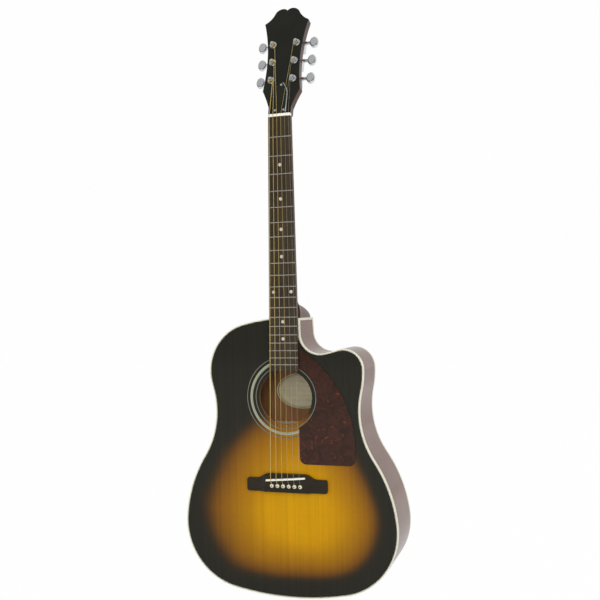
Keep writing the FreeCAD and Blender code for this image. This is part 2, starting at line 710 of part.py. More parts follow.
def heel_section(depth, half, reach):
    """A squarish oval outline of the heel, flat against the body."""
    points = []
    for step in range(13):
        angle = math.pi * step / 12
        across = math.cos(angle)
        x = math.copysign(half * abs(across) ** 0.72, across)
        points.append(V(x, FRONT_Y + depth, BODY_TOP_Z + reach * math.sin(angle) ** 0.72))
    nose = Part.BSplineCurve()
    nose.interpolate(points)
    return Part.Wire([nose.toShape(), line(points[-1], points[0])])


def on_head(shape):
    """Move a shape or point from the headstock's frame into place.

    There X is across, Y is the depth behind the face and Z is the distance from the nut.
    """
    origin = V(0, FRONT_Y - HEAD_DROP, NUT_Z + NUT_THICKNESS)
    turn = FreeCAD.Rotation(V(1, 0, 0), -HEAD_ANGLE)
    if isinstance(shape, V):
        return origin + turn.multVec(shape)
    moved = shape.copy()
    moved.rotate(V(0, 0, 0), V(1, 0, 0), -HEAD_ANGLE)
    moved.translate(origin)
    return moved


def head_outline():
    """Ears above the nut, a narrow waist, wide horns and a notched crown."""
    nut_half = NUT_WIDTH / 2
    ear = flat(nut_half + 0.3, 14)
    waist = flat(31.3, 105)
    horn = flat(42.4, 190)
    crown = flat(24, 208.8)
    peak = flat(11, 218.6)
    right = [
        line(flat(nut_half, 0), ear),
        arc(ear, flat(27.4, 30.5), flat(35.5, 48.5)),
        arc(flat(35.5, 48.5), flat(32.35, 77), waist),
        arc(waist, flat(34.1, 148), horn),
        arc(horn, flat(30.8, 198.6), crown),
        arc(crown, flat(19.2, 215.2), peak),
        arc(peak, flat(4.4, 217.8), flat(0, 214.6))]
    left = [mirror_x(edge) for edge in reversed(right)]
    return right + left + [line(flat(-nut_half, 0), flat(nut_half, 0))]


def post_places():
    """Post number, side and place, from the bass side of the nut round to the treble."""
    for index in range(6):
        x, s = POSTS[index if index < 3 else 5 - index]
        yield 6 - index, (-1 if index < 3 else 1), x, s


def post_bores(radius):
    bores = []
    for _, side, x, s in post_places():
        bores.append(rod(V(side * x, -10, s), V(side * x, 30, s), radius))
    return Part.makeCompound(bores)


def rod_channel():
    width, depth = ROD_CHANNEL
    foot, head = BODY_TOP_Z - 10, NUT_Z + 6
    side = [
        V(-width / 2, seat_y(foot) - 5, foot), V(-width / 2, seat_y(head) - 5, head),
        V(-width / 2, seat_y(head) + depth, head), V(-width / 2, seat_y(foot) + depth, foot)]
    return Part.Face(Part.Wire(polygon(side))).extrude(V(width, 0, 0))


def rod_pocket():
    """The recess under the cover, where the rod's nut is reached."""
    half = ROD_NUT_FLATS / 2 + 1.4
    floor = rod_centre(NUT_Z).y + ROD_NUT_FLATS / math.sqrt(3) + 0.3
    return box(-half, half, FRONT_Y - 10, floor,
               NUT_Z + NUT_THICKNESS + 1, NUT_Z + NUT_THICKNESS + 38)


def nut_seat():
    return box(-40, 40, FRONT_Y - 40, seat_y(NUT_Z), NUT_Z, NUT_Z + NUT_THICKNESS)


def make_neck():
    ends = [(BODY_TOP_Z, NECK_WOOD_AT_JOINT), (NUT_Z + 22, NECK_WOOD_AT_NUT)]
    sections = []
    for z, wood in ends:
        sections.append(neck_section(z, board_half(min(z, NUT_Z)), seat_y(z), wood))
    shaft = Part.makeLoft(sections, True, True)
    ahead = on_head(box(-60, 60, -60, VENEER_THICKNESS, 0, 80))
    shaft = shaft.cut(ahead)
    heel = Part.makeLoft([heel_section(*section) for section in HEEL_SECTIONS], True, False)
    wood = on_head(prism(head_outline(), VENEER_THICKNESS, HEAD_THICKNESS))
    neck = shaft.fuse([heel, wood, tenon_block()])
    rise = box(-40, 40, FRONT_Y - 20, FRONT_Y + TOP_THICKNESS, BODY_TOP_Z - 40, BODY_TOP_Z)
    neck = neck.cut([rise, rod_channel(), rod_pocket(), nut_seat()])
    holes = [post_bores(BUSHING_RADIUS), cover_screws(), tab_screws()]
    neck = neck.cut([on_head(hole) for hole in holes])
    keep("neck", neck.removeSplitter())
    veneer = on_head(prism(head_outline(), 0, VENEER_THICKNESS))
    veneer = veneer.cut([on_head(post_bores(BUSHING_RADIUS)), rod_pocket(), nut_seat()])
    keep("headstock_veneer", veneer.cut(on_head(cover_screws())))


def make_nut():
    top = FRONT_Y - BOARD_HEIGHT_AT_NUT - FRET_RADIUS - NUT_CLEARANCE - 0.75
    half = NUT_WIDTH / 2
    blank = box(-half, half, top, seat_y(NUT_Z), NUT_Z, NUT_Z + NUT_THICKNESS)
    front = V(0, top + BOARD_RADIUS, NUT_Z - 1)
    blank = blank.common(Part.makeCylinder(BOARD_RADIUS, NUT_THICKNESS + 2, front, V(0, 0, 1)))
    slope = box(-40, 40, -10, 0, 0, 10)
    slope.rotate(V(0, 0, 0), V(1, 0, 0), -24)
    slope.translate(V(0, top + 0.2, NUT_Z + 2.4))
    keep("nut", blank.cut(slope).cut(grooves()))


def rod_centre(z):
    """The truss rod lies on the floor of its channel."""
    return V(0, seat_y(z) + ROD_CHANNEL[1] - ROD_RADIUS, z)


def make_truss_rod():
    start = rod_centre(BODY_TOP_Z - 9)
    end = rod_centre(NUT_Z + 12)
    hexagon = hex_prism(ROD_NUT_FLATS, ROD_NUT_LENGTH)
    hexagon.rotate(V(0, 0, 0), V(1, 0, 0), 90)
    hexagon.translate(end)
    keep("truss_rod", rod(start, end, ROD_RADIUS), hexagon)


def hex_prism(flats, height):
    """A hexagonal bar along +Y from the origin."""
    radius = flats / math.sqrt(3)
    corners = []
    for step in range(6):
        angle = math.radians(60 * step + 30)
        corners.append(V(radius * math.cos(angle), 0, radius * math.sin(angle)))
    return Part.Face(Part.Wire(polygon(corners))).extrude(V(0, height, 0))


def screw(x, face, s, length, head_radius, radius):
    """A countersunk screw driven backwards from a face of the headstock."""
    shank = rod(V(x, face, s), V(x, face + length, s), radius)
    return shank.fuse(Part.makeCone(head_radius, radius, 1.2, V(x, face, s), V(0, 1, 0)))


def cover_screws():
    places = [(0.0, 57.5), (-8.2, 6.5), (8.2, 6.5)]
    return Part.makeCompound([screw(x, -COVER_THICKNESS, s, 9, 2.1, 0.9) for x, s in places])


def make_rod_cover():
    foot = flat(12.4, 2.0)
    flank = flat(12.8, 36)
    shoulder = flat(6.4, 57)
    right = [
        line(foot, flank), arc(flank, flat(11.2, 48), shoulder),
        arc(shoulder, flat(4.0, 61.4), flat(0, 63))]
    left = [mirror_x(edge) for edge in reversed(right)]
    edges = right + left + [line(mirror_x(Part.Vertex(foot)).Point, foot)]
    cover = prism(edges, -COVER_THICKNESS, 0)
    keep("truss_rod_cover", on_head(cover.cut(cover_screws())))


# ---- tuners --------------------------------------------------------------------------
def tab_screw(face):
    """The wood screw through a housing's tab, at the origin of its post."""
    tab_face = V(0, face + TAB_THICKNESS, TAB_SCREW_Z)
    head = Part.makeCone(1.0, 2.0, 1.0, tab_face - V(0, 1, 0), V(0, 1, 0))
    return rod(V(0, face - 8.5, TAB_SCREW_Z), tab_face, 1.0).fuse(head)


def tab_screws():
    """One screw for each housing, on the side away from the worm."""
    screws = []
    for _, side, x, s in post_places():
        one = tab_screw(HEAD_THICKNESS)
        one.translate(V(side * x, 0, s))
        screws.append(one)
    return Part.makeCompound(screws)


def make_screws():
    keep("screws", on_head(cover_screws()), on_head(tab_screws()), end_pin_screw())


def tuner_housing():
    """A cast box over one gear set, at the origin of its own post, worm towards +Z."""
    front, wall = HEAD_THICKNESS, HOUSING_WALL
    x_low, x_high = HOUSING_X
    z_low, z_high = HOUSING_Z
    block = box(x_low, x_high, front, HOUSING_BACK, z_low, z_high)
    block = block.makeFillet(2.5, [edge for edge in block.Edges if is_outer_edge(edge)])
    boss = rod(at_worm(x_high), at_worm(BOSS_END_X), BOSS_RADIUS)
    tab = box(-TAB_HALF, TAB_HALF, front, front + TAB_THICKNESS,
              TAB_SCREW_Z - TAB_HALF, TAB_SCREW_Z + TAB_HALF)
    hollow = box(x_low + wall, x_high - wall, front - 1, HOUSING_BACK - wall,
                 z_low + wall, z_high - wall)
    bore = SHAFT_RADIUS + RUNNING_CLEARANCE
    shaft = rod(at_worm(x_low + wall / 2), at_worm(BOSS_END_X + 1), bore)
    foot = rod(V(0, WORM_DEPTH, 0), V(0, HOUSING_BACK - 0.5, 0), bore)
    hole = tab_screw(HEAD_THICKNESS)
    return block.fuse([boss, tab]).cut([hollow, shaft, foot, hole]).removeSplitter()


def at_worm(x):
    """A point on the worm's axis."""
    return V(x, WORM_DEPTH, WORM_OFFSET)


def is_outer_edge(edge):
    """True for the edges of a housing that face away from the headstock."""
    return edge.BoundBox.YMax > HEAD_THICKNESS + 0.1


def worm_shaft():
    """The button's shaft with its single-start worm, along +X at the post's origin."""
    pitch = math.pi * GEAR_MODULE
    helix = Part.makeHelix(pitch, pitch * WORM_TURNS, WORM_CORE_RADIUS)
    root, tip = WORM_CORE_RADIUS - 0.15, WORM_TIP_RADIUS
    profile = polygon([V(root, 0, -0.55), V(tip, 0, -0.3), V(tip, 0, 0.3), V(root, 0, 0.55)])
    thread = Part.Wire(helix.Edges).makePipeShell([Part.Wire(profile)], True, True)
    thread.translate(V(0, 0, -pitch * WORM_TURNS / 2))
    core = along_z(-WORM_HALF_LENGTH, WORM_HALF_LENGTH, WORM_CORE_RADIUS)
    shaft = along_z(HOUSING_X[0] + HOUSING_WALL / 2 + 0.1, BUTTON_MID_X, SHAFT_RADIUS)
    collar = along_z(BOSS_END_X + 0.3, BUTTON_MID_X - BUTTON_FOOT, COLLAR_RADIUS)
    for start in COLLAR_GROOVES:
        ring = along_z(start, start + 0.6, COLLAR_RADIUS + 1)
        collar = collar.cut(ring.cut(along_z(start, start + 0.6, COLLAR_GROOVE_RADIUS)))
    whole = core.fuse([thread, shaft, collar])
    whole.rotate(V(0, 0, 0), V(1, 0, 1), 180)
    whole.translate(at_worm(0))
    return whole


def along_z(low, high, radius):
    return rod(V(0, 0, low), V(0, 0, high), radius)


def tuner_button():
    """An egg-shaped button, narrower at its foot and rounded all over."""
    edges = []
    for reach, start in ((BUTTON_OUTER, 0), (BUTTON_INNER, math.pi)):
        oval = Part.Ellipse(V(0, 0, 0), BUTTON_HALF_Z, reach)
        edges.append(oval.toShape(start, start + math.pi))
    outline = Part.Wire(edges)
    outline.rotate(V(0, 0, 0), V(0, 0, 1), -90)
    outline.rotate(V(0, 0, 0), V(1, 0, 0), 90)
    body = prism(outline.Edges, -BUTTON_THICKNESS / 2, BUTTON_THICKNESS / 2)
    body = body.makeFillet(BUTTON_EDGE, body.Edges)
    body = body.fuse(rod(V(-BUTTON_FOOT, 0, 0), V(0, 0, 0), COLLAR_RADIUS))
    body = body.cut(rod(V(-BUTTON_FOOT, 0, 0), V(0, 0, 0), SHAFT_RADIUS))
    body.translate(at_worm(BUTTON_MID_X))
    return body


def worm_wheel():
    """A wheel with one tooth pointing at the worm, which meshes at rest."""
    pitch_radius = GEAR_MODULE * WHEEL_TEETH / 2
    tip = pitch_radius + 0.5
    root = WORM_OFFSET - WORM_TIP_RADIUS - 0.2
    corners = []
    for tooth in range(WHEEL_TEETH):
        middle = 2 * math.pi * tooth / WHEEL_TEETH
        for radius, half in ((root, -0.55), (tip, -0.3), (tip, 0.3), (root, 0.55)):
            angle = middle + half / radius
            corners.append(V(radius * math.sin(angle), 0, radius * math.cos(angle)))
    wheel = Part.Face(Part.Wire(polygon(corners))).extrude(V(0, WHEEL_THICKNESS, 0))
    wheel.translate(V(0, WORM_DEPTH - WHEEL_THICKNESS / 2, 0))
    return wheel


def string_post(index):
    """The post with its worm wheel: a waist for the string, a hole through it, a foot."""
    front, back = POST_GROOVE
    wheel_front = WORM_DEPTH - WHEEL_THICKNESS / 2
    radius = STRING_DIAMETERS[index] / 2
    post = rod(V(0, POST_FRONT, 0), V(0, wheel_front, 0), POST_RADIUS)
    waist = tube(V(0, front, 0), V(0, back, 0), POST_RADIUS + 1, POST_WAIST_RADIUS)
    eye = rod(V(-5, front + 1.0, 0), V(5, front + 1.0, 0), radius + 0.3)
    foot = rod(V(0, wheel_front, 0), V(0, HOUSING_BACK - 0.7, 0), SHAFT_RADIUS)
    return post.cut([waist, eye]).fuse([worm_wheel(), foot]).removeSplitter()


def string_winding(index):
    """Turns of string round the waist of the post, side by side."""
    radius = STRING_DIAMETERS[index] / 2
    turns = []
    for turn in range(WINDING_TURNS[index]):
        depth = POST_GROOVE[1] - radius - 0.6 - turn * (2 * radius + 0.02)
        middle = V(0, depth, 0)
        turns.append(Part.makeTorus(POST_WAIST_RADIUS + radius, radius, middle, V(0, 1, 0)))
    return turns


def bushing_and_washer():
    bore = rod(V(0, -10, 0), V(0, 30, 0), POST_RADIUS + RUNNING_CLEARANCE)
    hexagon = hex_prism(HEX_FLATS, HEX_HEIGHT)
    hexagon.translate(V(0, -HEX_HEIGHT - WASHER_THICKNESS, 0))
    sleeve = rod(V(0, -WASHER_THICKNESS, 0), V(0, HEAD_THICKNESS, 0), BUSHING_RADIUS)
    washer = tube(V(0, -WASHER_THICKNESS, 0), V(0, 0, 0), WASHER_RADIUS, BUSHING_RADIUS)
    return [hexagon.fuse(sleeve).cut(bore), washer]


def place_tuner(shape, side, x, s):
    """Move a part of a gear set from the treble pattern to its own post."""
    moved = shape if side > 0 else mirror_x(shape)
    moved = moved.copy()
    moved.translate(V(side * x, 0, s))
    return on_head(moved)


def make_tuners():
    housing, shaft, button = tuner_housing(), worm_shaft(), tuner_button()
    housings, bushings = [], []
    for number, side, x, s in post_places():
        index = 6 - number
        housings.append(place_tuner(housing, side, x, s))
        bushings += [place_tuner(piece, side, x, s) for piece in bushing_and_washer()]
        keep(f"worm_shaft_{number}", place_tuner(shaft, side, x, s))
        keep(f"tuner_button_{number}", place_tuner(button, side, x, s))
        keep(f"string_post_{number}", place_tuner(string_post(index), side, x, s))
        turns = [place_tuner(turn, side, x, s) for turn in string_winding(index)]
        keep(f"string_winding_{number}", *turns)
    keep("tuner_housings", *housings)
    keep("tuner_bushings", *bushings)


def main():
    make_shell()
    make_soundboard()
    make_pickguard()
    make_blocks_and_linings()
    make_braces()
    make_label()
    make_end_pin()
    make_strings()
    make_bridge()
    make_fingerboard()
    make_neck()
    make_nut()
    make_truss_rod()
    make_rod_cover()
    make_screws()
    make_tuners()
    os.makedirs("parts", exist_ok=True)
    for name, shape in parts.items():
        shape.exportStep(f"parts/{name}.step")


main()
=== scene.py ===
"""Looks for the acoustic guitar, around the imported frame. Metres throughout.

+Z runs from the tail to the headstock, the soundboard faces -Y and +X is the treble side.
"""
import math

import bmesh
import bpy
from mathutils import Matrix, Vector
from mathutils.kdtree import KDTree


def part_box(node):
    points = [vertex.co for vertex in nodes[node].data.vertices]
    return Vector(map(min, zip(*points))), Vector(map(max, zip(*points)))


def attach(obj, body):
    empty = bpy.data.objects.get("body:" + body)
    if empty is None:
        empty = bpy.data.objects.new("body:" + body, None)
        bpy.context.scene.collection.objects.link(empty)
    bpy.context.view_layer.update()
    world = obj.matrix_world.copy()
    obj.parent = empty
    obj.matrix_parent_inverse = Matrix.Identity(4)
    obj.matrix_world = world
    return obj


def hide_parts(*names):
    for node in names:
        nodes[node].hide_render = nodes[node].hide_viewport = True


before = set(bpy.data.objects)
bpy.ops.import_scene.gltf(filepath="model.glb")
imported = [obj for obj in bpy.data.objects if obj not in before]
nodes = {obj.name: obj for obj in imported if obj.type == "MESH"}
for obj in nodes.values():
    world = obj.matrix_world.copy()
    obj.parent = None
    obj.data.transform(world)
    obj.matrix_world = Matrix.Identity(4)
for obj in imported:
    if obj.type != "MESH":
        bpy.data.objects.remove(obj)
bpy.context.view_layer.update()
MM = 0.001

# ---- places read from the frame --------------------------------------------------------
FRONT_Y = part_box("soundboard")[0].y
LABEL_LOW, LABEL_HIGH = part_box("label")
RING_LOW, RING_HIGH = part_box("rosette_rings")
HOLE = (0.0, (RING_LOW.z + RING_HIGH.z) / 2)     # the sound hole's centre, x and z
PIN_LOW, PIN_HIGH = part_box("bridge_pins")
FLOOR_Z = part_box("end_pin")[0].z - 0.001         # just under the end pin


# ---- shader helpers --------------------------------------------------------------------
def srgb(r, g, b):
    """A screen colour, 0 to 255, as linear light."""
    def linear(value):
        share = value / 255
        return share / 12.92 if value < 10 else ((share + 0.055) / 1.055) ** 2.4
    return (linear(r), linear(g), linear(b), 1.0)


def grey(value):
    return (value, value, value, 1.0)


class Shader:
    """A small writer of node trees: every call adds one node and returns its output."""

    def __init__(self, name):
        self.material = bpy.data.materials.new(name)
        self.material.use_nodes = True
        self.tree = self.material.node_tree
        self.bsdf = self.tree.nodes["Principled BSDF"]
        self.out = self.tree.nodes["Material Output"]

    def put(self, socket, value):
        if isinstance(value, bpy.types.NodeSocket):
            self.tree.links.new(value, socket)
        elif value is not None:
            socket.default_value = value

    def add(self, kind, **settings):
        node = self.tree.nodes.new(kind)
        for key, value in settings.items():
            setattr(node, key, value)
        return node

    def math(self, operation, a, b=None):
        node = self.add("ShaderNodeMath", operation=operation)
        self.put(node.inputs[0], a)
        self.put(node.inputs[1], b)
        return node.outputs[0]

    def place(self, scale=(1, 1, 1), shift=(0, 0, 0)):
        """The row frame's coordinates at rest, stretched."""
        coords = self.add("ShaderNodeTexCoord").outputs["Object"]
        mapping = self.add("ShaderNodeMapping")
        self.put(mapping.inputs["Vector"], coords)
        mapping.inputs["Scale"].default_value = scale
        mapping.inputs["Location"].default_value = shift
        return mapping.outputs[0]

    def xyz(self, vector=None):
        split = self.add("ShaderNodeSeparateXYZ")
        self.put(split.inputs[0], vector or self.place())
        return split.outputs

    def noise(self, vector, scale=1.0, detail=3.0, rough=0.5, distort=0.0):
        node = self.add("ShaderNodeTexNoise")
        self.put(node.inputs["Vector"], vector)
        node.inputs["Scale"].default_value = scale
        node.inputs["Detail"].default_value = detail
        node.inputs["Roughness"].default_value = rough
        node.inputs["Distortion"].default_value = distort
        return node.outputs[0]

    def ramp(self, value, stops, mode="LINEAR"):
        """stops: (position, colour)."""
        node = self.add("ShaderNodeValToRGB")
        node.color_ramp.interpolation = mode
        elements = node.color_ramp.elements
        while len(elements) < len(stops):
            elements.new(0.5)
        for element, (position, colour) in zip(elements, stops):
            element.position = position
            element.color = colour
        self.put(node.inputs[0], value)
        return node.outputs[0]

    def span(self, value, low, high, to_low=0.0, to_high=1.0):
        node = self.add("ShaderNodeMapRange")
        self.put(node.inputs["Value"], value)
        node.inputs["From Min"].default_value = low
        node.inputs["From Max"].default_value = high
        node.inputs["To Min"].default_value = to_low
        node.inputs["To Max"].default_value = to_high
        return node.outputs[0]

    def mix(self, share, a, b, mode="MIX"):
        node = self.add("ShaderNodeMix", data_type="RGBA", blend_type=mode)
        self.put(node.inputs[0], share)
        self.put(node.inputs[6], a)
        self.put(node.inputs[7], b)
        return node.outputs[2]

    def bump(self, height, depth, strength=1.0):
        node = self.add("ShaderNodeBump")
        node.inputs["Distance"].default_value = depth
        node.inputs["Strength"].default_value = strength
        self.put(node.inputs["Height"], height)
        self.put(self.bsdf.inputs["Normal"], node.outputs[0])

    def facing(self):
        """The object's own normal as three outputs."""
        return self.xyz(self.add("ShaderNodeTexCoord").outputs["Normal"])

    def finish(self, colour, rough=0.5, metal=0.0, ior=1.45):
        self.put(self.bsdf.inputs["Base Color"], colour)
        self.put(self.bsdf.inputs["Roughness"], rough)
        self.bsdf.inputs["Metallic"].default_value = metal
        self.bsdf.inputs["IOR"].default_value = ior
        return self.material


def dress(node, material):
    """Give a CAD node its finish."""
    mesh = nodes[node].data
    mesh.materials.clear()
    mesh.materials.append(material)


def length_of(shader, a, b):
    squares = shader.math("ADD", shader.math("MULTIPLY", a, a), shader.math("MULTIPLY", b, b))
    return shader.math("SQRT", squares)


def radius_from(shader, centre, squash=(1.0, 1.0)):
    """Distance from a point in the front view, and the angle about it."""
    x, _, z = shader.xyz()
    dx = shader.math("MULTIPLY", shader.math("SUBTRACT", x, centre[0]), squash[0])
    dz = shader.math("MULTIPLY", shader.math("SUBTRACT", z, centre[1]), squash[1])
    return length_of(shader, dx, dz), shader.math("ARCTAN2", dz, dx)


# ---- woods -----------------------------------------------------------------------------
BURST_CENTRE = (0.005, 0.150)
BURST_SIZE = 0.25             # a radius that the edge curve's values are shares of
# Where the amber ends, by direction: (degrees from the treble side, radius in mm).
BURST_EDGE = [
    (-180, 171), (-140, 156), (-120, 131), (-100, 118), (-80, 117), (-60, 129), (-40, 153), (-20, 163),
    (0, 166), (20, 155), (40, 160), (60, 183), (90, 191), (110, 181), (140, 163), (160, 162), (180, 171)]
# Colour along a share of that radius.
BURST_TONES = [
    (0.00, (200, 146, 3)), (0.20, (200, 146, 3)), (0.35, (197, 142, 4)), (0.46, (186, 132, 6)),
    (0.56, (171, 120, 10)), (0.66, (159, 109, 14)), (0.75, (146, 98, 18)), (0.83, (129, 85, 21)),
    (0.89, (111, 72, 24)), (0.94, (85, 58, 27)), (0.985, (60, 46, 29)), (1.03, (45, 41, 32)),
    (1.10, (40, 39, 33))]
BURST_SPAN = 1.2              # the colour ramp's end, as a share


def spruce_top():
    """Sunburst over spruce grain in front, bare wood behind and round the sound hole's edge."""
    shader = Shader("sunburst_spruce")
    reach, angle = radius_from(shader, BURST_CENTRE)
    turn = shader.span(angle, -math.pi, math.pi)
    edge = [((degrees + 180) / 360, grey(radius * MM / BURST_SIZE)) for degrees, radius in BURST_EDGE]
    edge_curve = shader.ramp(turn, edge, "B_SPLINE")
    share = shader.math("DIVIDE", shader.math("DIVIDE", reach, BURST_SIZE), edge_curve)
    # The fade is steeper towards the treble side.
    falloff = shader.math("ADD", shader.math("MULTIPLY", shader.math("COSINE", angle), 0.30), 1.10)
    share = shader.math("POWER", share, falloff)
    cloud = shader.noise(shader.place((9, 9, 9)), 1.0, 2.0)
    share = shader.math("ADD", share, shader.span(cloud, 0.3, 0.7, -0.012, 0.012))
    stops = [(at / BURST_SPAN, srgb(*colour)) for at, colour in BURST_TONES]
    tone = shader.ramp(shader.math("DIVIDE", share, BURST_SPAN), stops)
    fine = shader.noise(shader.place((330, 40, 2.2)), 1.0, 2.0, 0.6, 0.2)
    broad = shader.noise(shader.place((150, 20, 2.0)), 1.0, 3.0, 0.65)
    silk = shader.noise(shader.place((60, 20, 190)), 1.0, 2.0, 0.5, 0.6)
    lines = shader.mix(0.5, shader.ramp(fine, [(0.36, grey(0.88)), (0.62, grey(1.07))]),
                       shader.ramp(broad, [(0.3, grey(0.90)), (0.7, grey(1.12))]))
    tone = shader.mix(1.0, tone, lines, "MULTIPLY")
    tone = shader.mix(1.0, tone, shader.ramp(silk, [(0.42, grey(0.985)), (0.6, grey(1.01))]), "MULTIPLY")
    shader.bump(shader.noise(shader.place((420, 40, 6)), 1.0, 2.0), 0.00003, 0.35)
    bare = shader.math("GREATER_THAN", shader.facing()[1], -0.5)
    pale = shader.ramp(broad, [(0.3, srgb(150, 106, 62)), (0.7, srgb(182, 136, 86))])
    return shader.finish(shader.mix(bare, tone, pale), shader.span(bare, 0, 1, 0.10, 0.6), ior=1.22)


def wood(name, dark, light, stretch, rough, ior=1.45, pores=0.0, bump=0.00004, contrast=1.0):
    """Straight-grained timber: broad bands, fine fibres and, if asked for, dark pores."""
    shader = Shader(name)
    broad = shader.noise(shader.place(tuple(s * 0.16 for s in stretch)), 1.0, 3.0, 0.6, 0.4)
    fine = shader.noise(shader.place(stretch), 1.0, 3.0, 0.65)
    blend = shader.mix(0.55, broad, fine)
    reach = 0.17 / contrast
    tone = shader.ramp(blend, [(0.5 - reach, srgb(*dark)), (0.5 + reach, srgb(*light))])
    if pores:
        thin = shader.noise(shader.place(tuple(s * 2.2 for s in stretch)), 1.0, 1.0, 0.5)
        streak = shader.ramp(thin, [(0.60, grey(1.0)), (0.68, grey(1.0 - pores))])
        tone = shader.mix(1.0, tone, streak, "MULTIPLY")
    shader.bump(fine, bump, 0.5)
    return shader.finish(tone, rough, ior=ior)


def back_material():
    """Glossy outside, bare and paler inside the body."""
    shader = Shader("mahogany_back")
    inside = shader.math("LESS_THAN", shader.facing()[1], -0.5)
    broad = shader.noise(shader.place((52, 7, 1.2)), 1.0, 3.0, 0.6, 0.4)
    fine = shader.noise(shader.place((330, 40, 7)), 1.0, 3.0, 0.65)
    blend = shader.mix(0.55, broad, fine)
    outer = shader.ramp(blend, [(0.33, srgb(74, 34, 22)), (0.67, srgb(112, 58, 38))])
    bare = shader.ramp(blend, [(0.33, srgb(140, 98, 60)), (0.67, srgb(176, 128, 84))])
    shader.bump(fine, 0.00004, 0.5)
    return shader.finish(shader.mix(inside, outer, bare), shader.span(inside, 0, 1, 0.14, 0.6), ior=1.5)


# ---- plastics, paper and metals --------------------------------------------------------
def tortoise():
    """Dark shell with red-brown flecks."""
    shader = Shader("tortoise_shell")
    cloud = shader.noise(shader.place((60, 60, 60)), 1.0, 5.0, 0.65, 1.0)
    flecks = shader.noise(shader.place((75, 75, 62), (3, 1, 2)), 1.0, 4.0, 0.6, 1.2)
    tone = shader.ramp(cloud, [(0.32, srgb(46, 31, 26)), (0.5, srgb(56, 36, 29)), (0.68, srgb(70, 41, 32))])
    spots = shader.ramp(flecks, [(0.61, grey(0.0)), (0.71, grey(0.75))])
    tone = shader.mix(spots, tone, srgb(136, 60, 34))
    return shader.finish(tone, 0.12, ior=1.25)


def scaled(colour, factor):
    """A colour made darker or lighter."""
    return tuple(min(1.0, channel * factor) for channel in colour[:3]) + (1.0,)


def plain(name, colour, rough, metal=0.0, ior=1.45, vary=0.06, scale=30.0, rough_vary=0.06):
    """An even material with slight unevenness in tone and gloss."""
    shader = Shader(name)
    cloud = shader.noise(shader.place((scale, scale, scale)), 1.0, 3.0)
    low, high = scaled(colour, 1 - vary), scaled(colour, 1 + vary)
    tone = shader.ramp(cloud, [(0.3, low), (0.7, high)])
    gloss = shader.span(cloud, 0.3, 0.7, max(0.02, rough - rough_vary), rough + rough_vary)
    return shader.finish(tone, gloss, metal, ior)


def wound(name, colour, rough):
    """Wrap wire: fine rings across the string."""
    shader = Shader(name)
    wave = shader.add("ShaderNodeTexWave", bands_direction="Z", wave_profile="SIN")
    shader.put(wave.inputs["Vector"], shader.place())
    wave.inputs["Scale"].default_value = 1100.0
    tone = shader.ramp(wave.outputs["Color"], [(0.0, scaled(colour, 0.6)), (0.6, colour)])
    shader.bump(wave.outputs["Color"], 0.00008, 0.6)
    return shader.finish(tone, rough, 0.45)


PIN_COUNT = 6
PIN_HEAD = 0.0072             # width of a bridge pin's head
PIN_DOT = 0.0011              # radius of the dot in it
PIN_FRONT = 0.0095            # the dots lie at least this far in front of the soundboard


def pin_material():
    """Cream plastic with a dark dot let into each head."""
    shader = Shader("cream_pin")
    x, y, z = shader.xyz()
    pitch = (PIN_HIGH.x - PIN_LOW.x - PIN_HEAD) / (PIN_COUNT - 1)
    # How far the nearest pin's centre is. Whole pitches are added to keep the sum above zero.
    across = shader.math("PINGPONG", shader.math("ADD", x, pitch * 2.5 + pitch * 10), pitch / 2)
    up = shader.math("SUBTRACT", z, PIN_LOW.z + PIN_HEAD / 2)
    front = shader.math("LESS_THAN", y, FRONT_Y - PIN_FRONT)
    dot = shader.math("MULTIPLY", shader.math("LESS_THAN", length_of(shader, across, up), PIN_DOT), front)
    tone = shader.mix(dot, srgb(232, 222, 196), srgb(24, 20, 18))
    return shader.finish(tone, 0.25)


LABEL_ROW = 0.009             # from one ruled line to the next
LABEL_LINE = 0.00044          # thickness of a line


def label_material():
    """Aged paper with a double oval border and blank ruled lines."""
    shader = Shader("label_paper")
    centre = ((LABEL_LOW.x + LABEL_HIGH.x) / 2, (LABEL_LOW.z + LABEL_HIGH.z) / 2)
    half = ((LABEL_HIGH.x - LABEL_LOW.x) / 2, (LABEL_HIGH.z - LABEL_LOW.z) / 2)
    reach, _ = radius_from(shader, centre, (1 / half[0], 1 / half[1]))
    border = [(0.0, grey(0)), (0.865, grey(1)), (0.878, grey(0)), (0.925, grey(1)), (0.95, grey(0))]
    cloud = shader.noise(shader.place((60, 60, 60)), 1.0, 4.0)
    paper = shader.ramp(cloud, [(0.3, srgb(214, 204, 166)), (0.7, srgb(228, 218, 184))])
    ink = shader.ramp(reach, border, "CONSTANT")
    row = shader.math("PINGPONG", shader.math("SUBTRACT", shader.xyz()[2], centre[1]), LABEL_ROW / 2)
    rule = shader.math("LESS_THAN", row, LABEL_LINE / 2)
    inside = shader.math("LESS_THAN", reach, 0.74)
    rule = shader.math("MULTIPLY", shader.math("MULTIPLY", rule, inside), 0.45)
    ink = shader.mix(1.0, ink, rule, "LIGHTEN")
    tone = shader.mix(ink, paper, srgb(96, 84, 66))
    return shader.finish(tone, 0.7)


def rosette_material():
    """Pale rings with thin black plies along their edges, the middle ring the palest."""
    shader = Shader("rosette_plies")
    reach, _ = radius_from(shader, HOLE)
    line = srgb(20, 20, 17)
    thin, thick = srgb(122, 124, 108), srgb(158, 162, 138)
    far = 0.100               # a radius past the rosette, for the ramp's scale
    stops = [(0.0, line), (0.0558, thin), (0.0569, line), (0.0624, thick), (0.0640, line), (0.0643, thick),
             (0.0649, line), (0.0652, thick), (0.0668, line), (0.0722, thin), (0.0733, line)]
    plies = [(at / far, ply) for at, ply in stops]
    tone = shader.ramp(shader.math("DIVIDE", reach, far), plies, "CONSTANT")
    return shader.finish(tone, 0.12, ior=1.42)


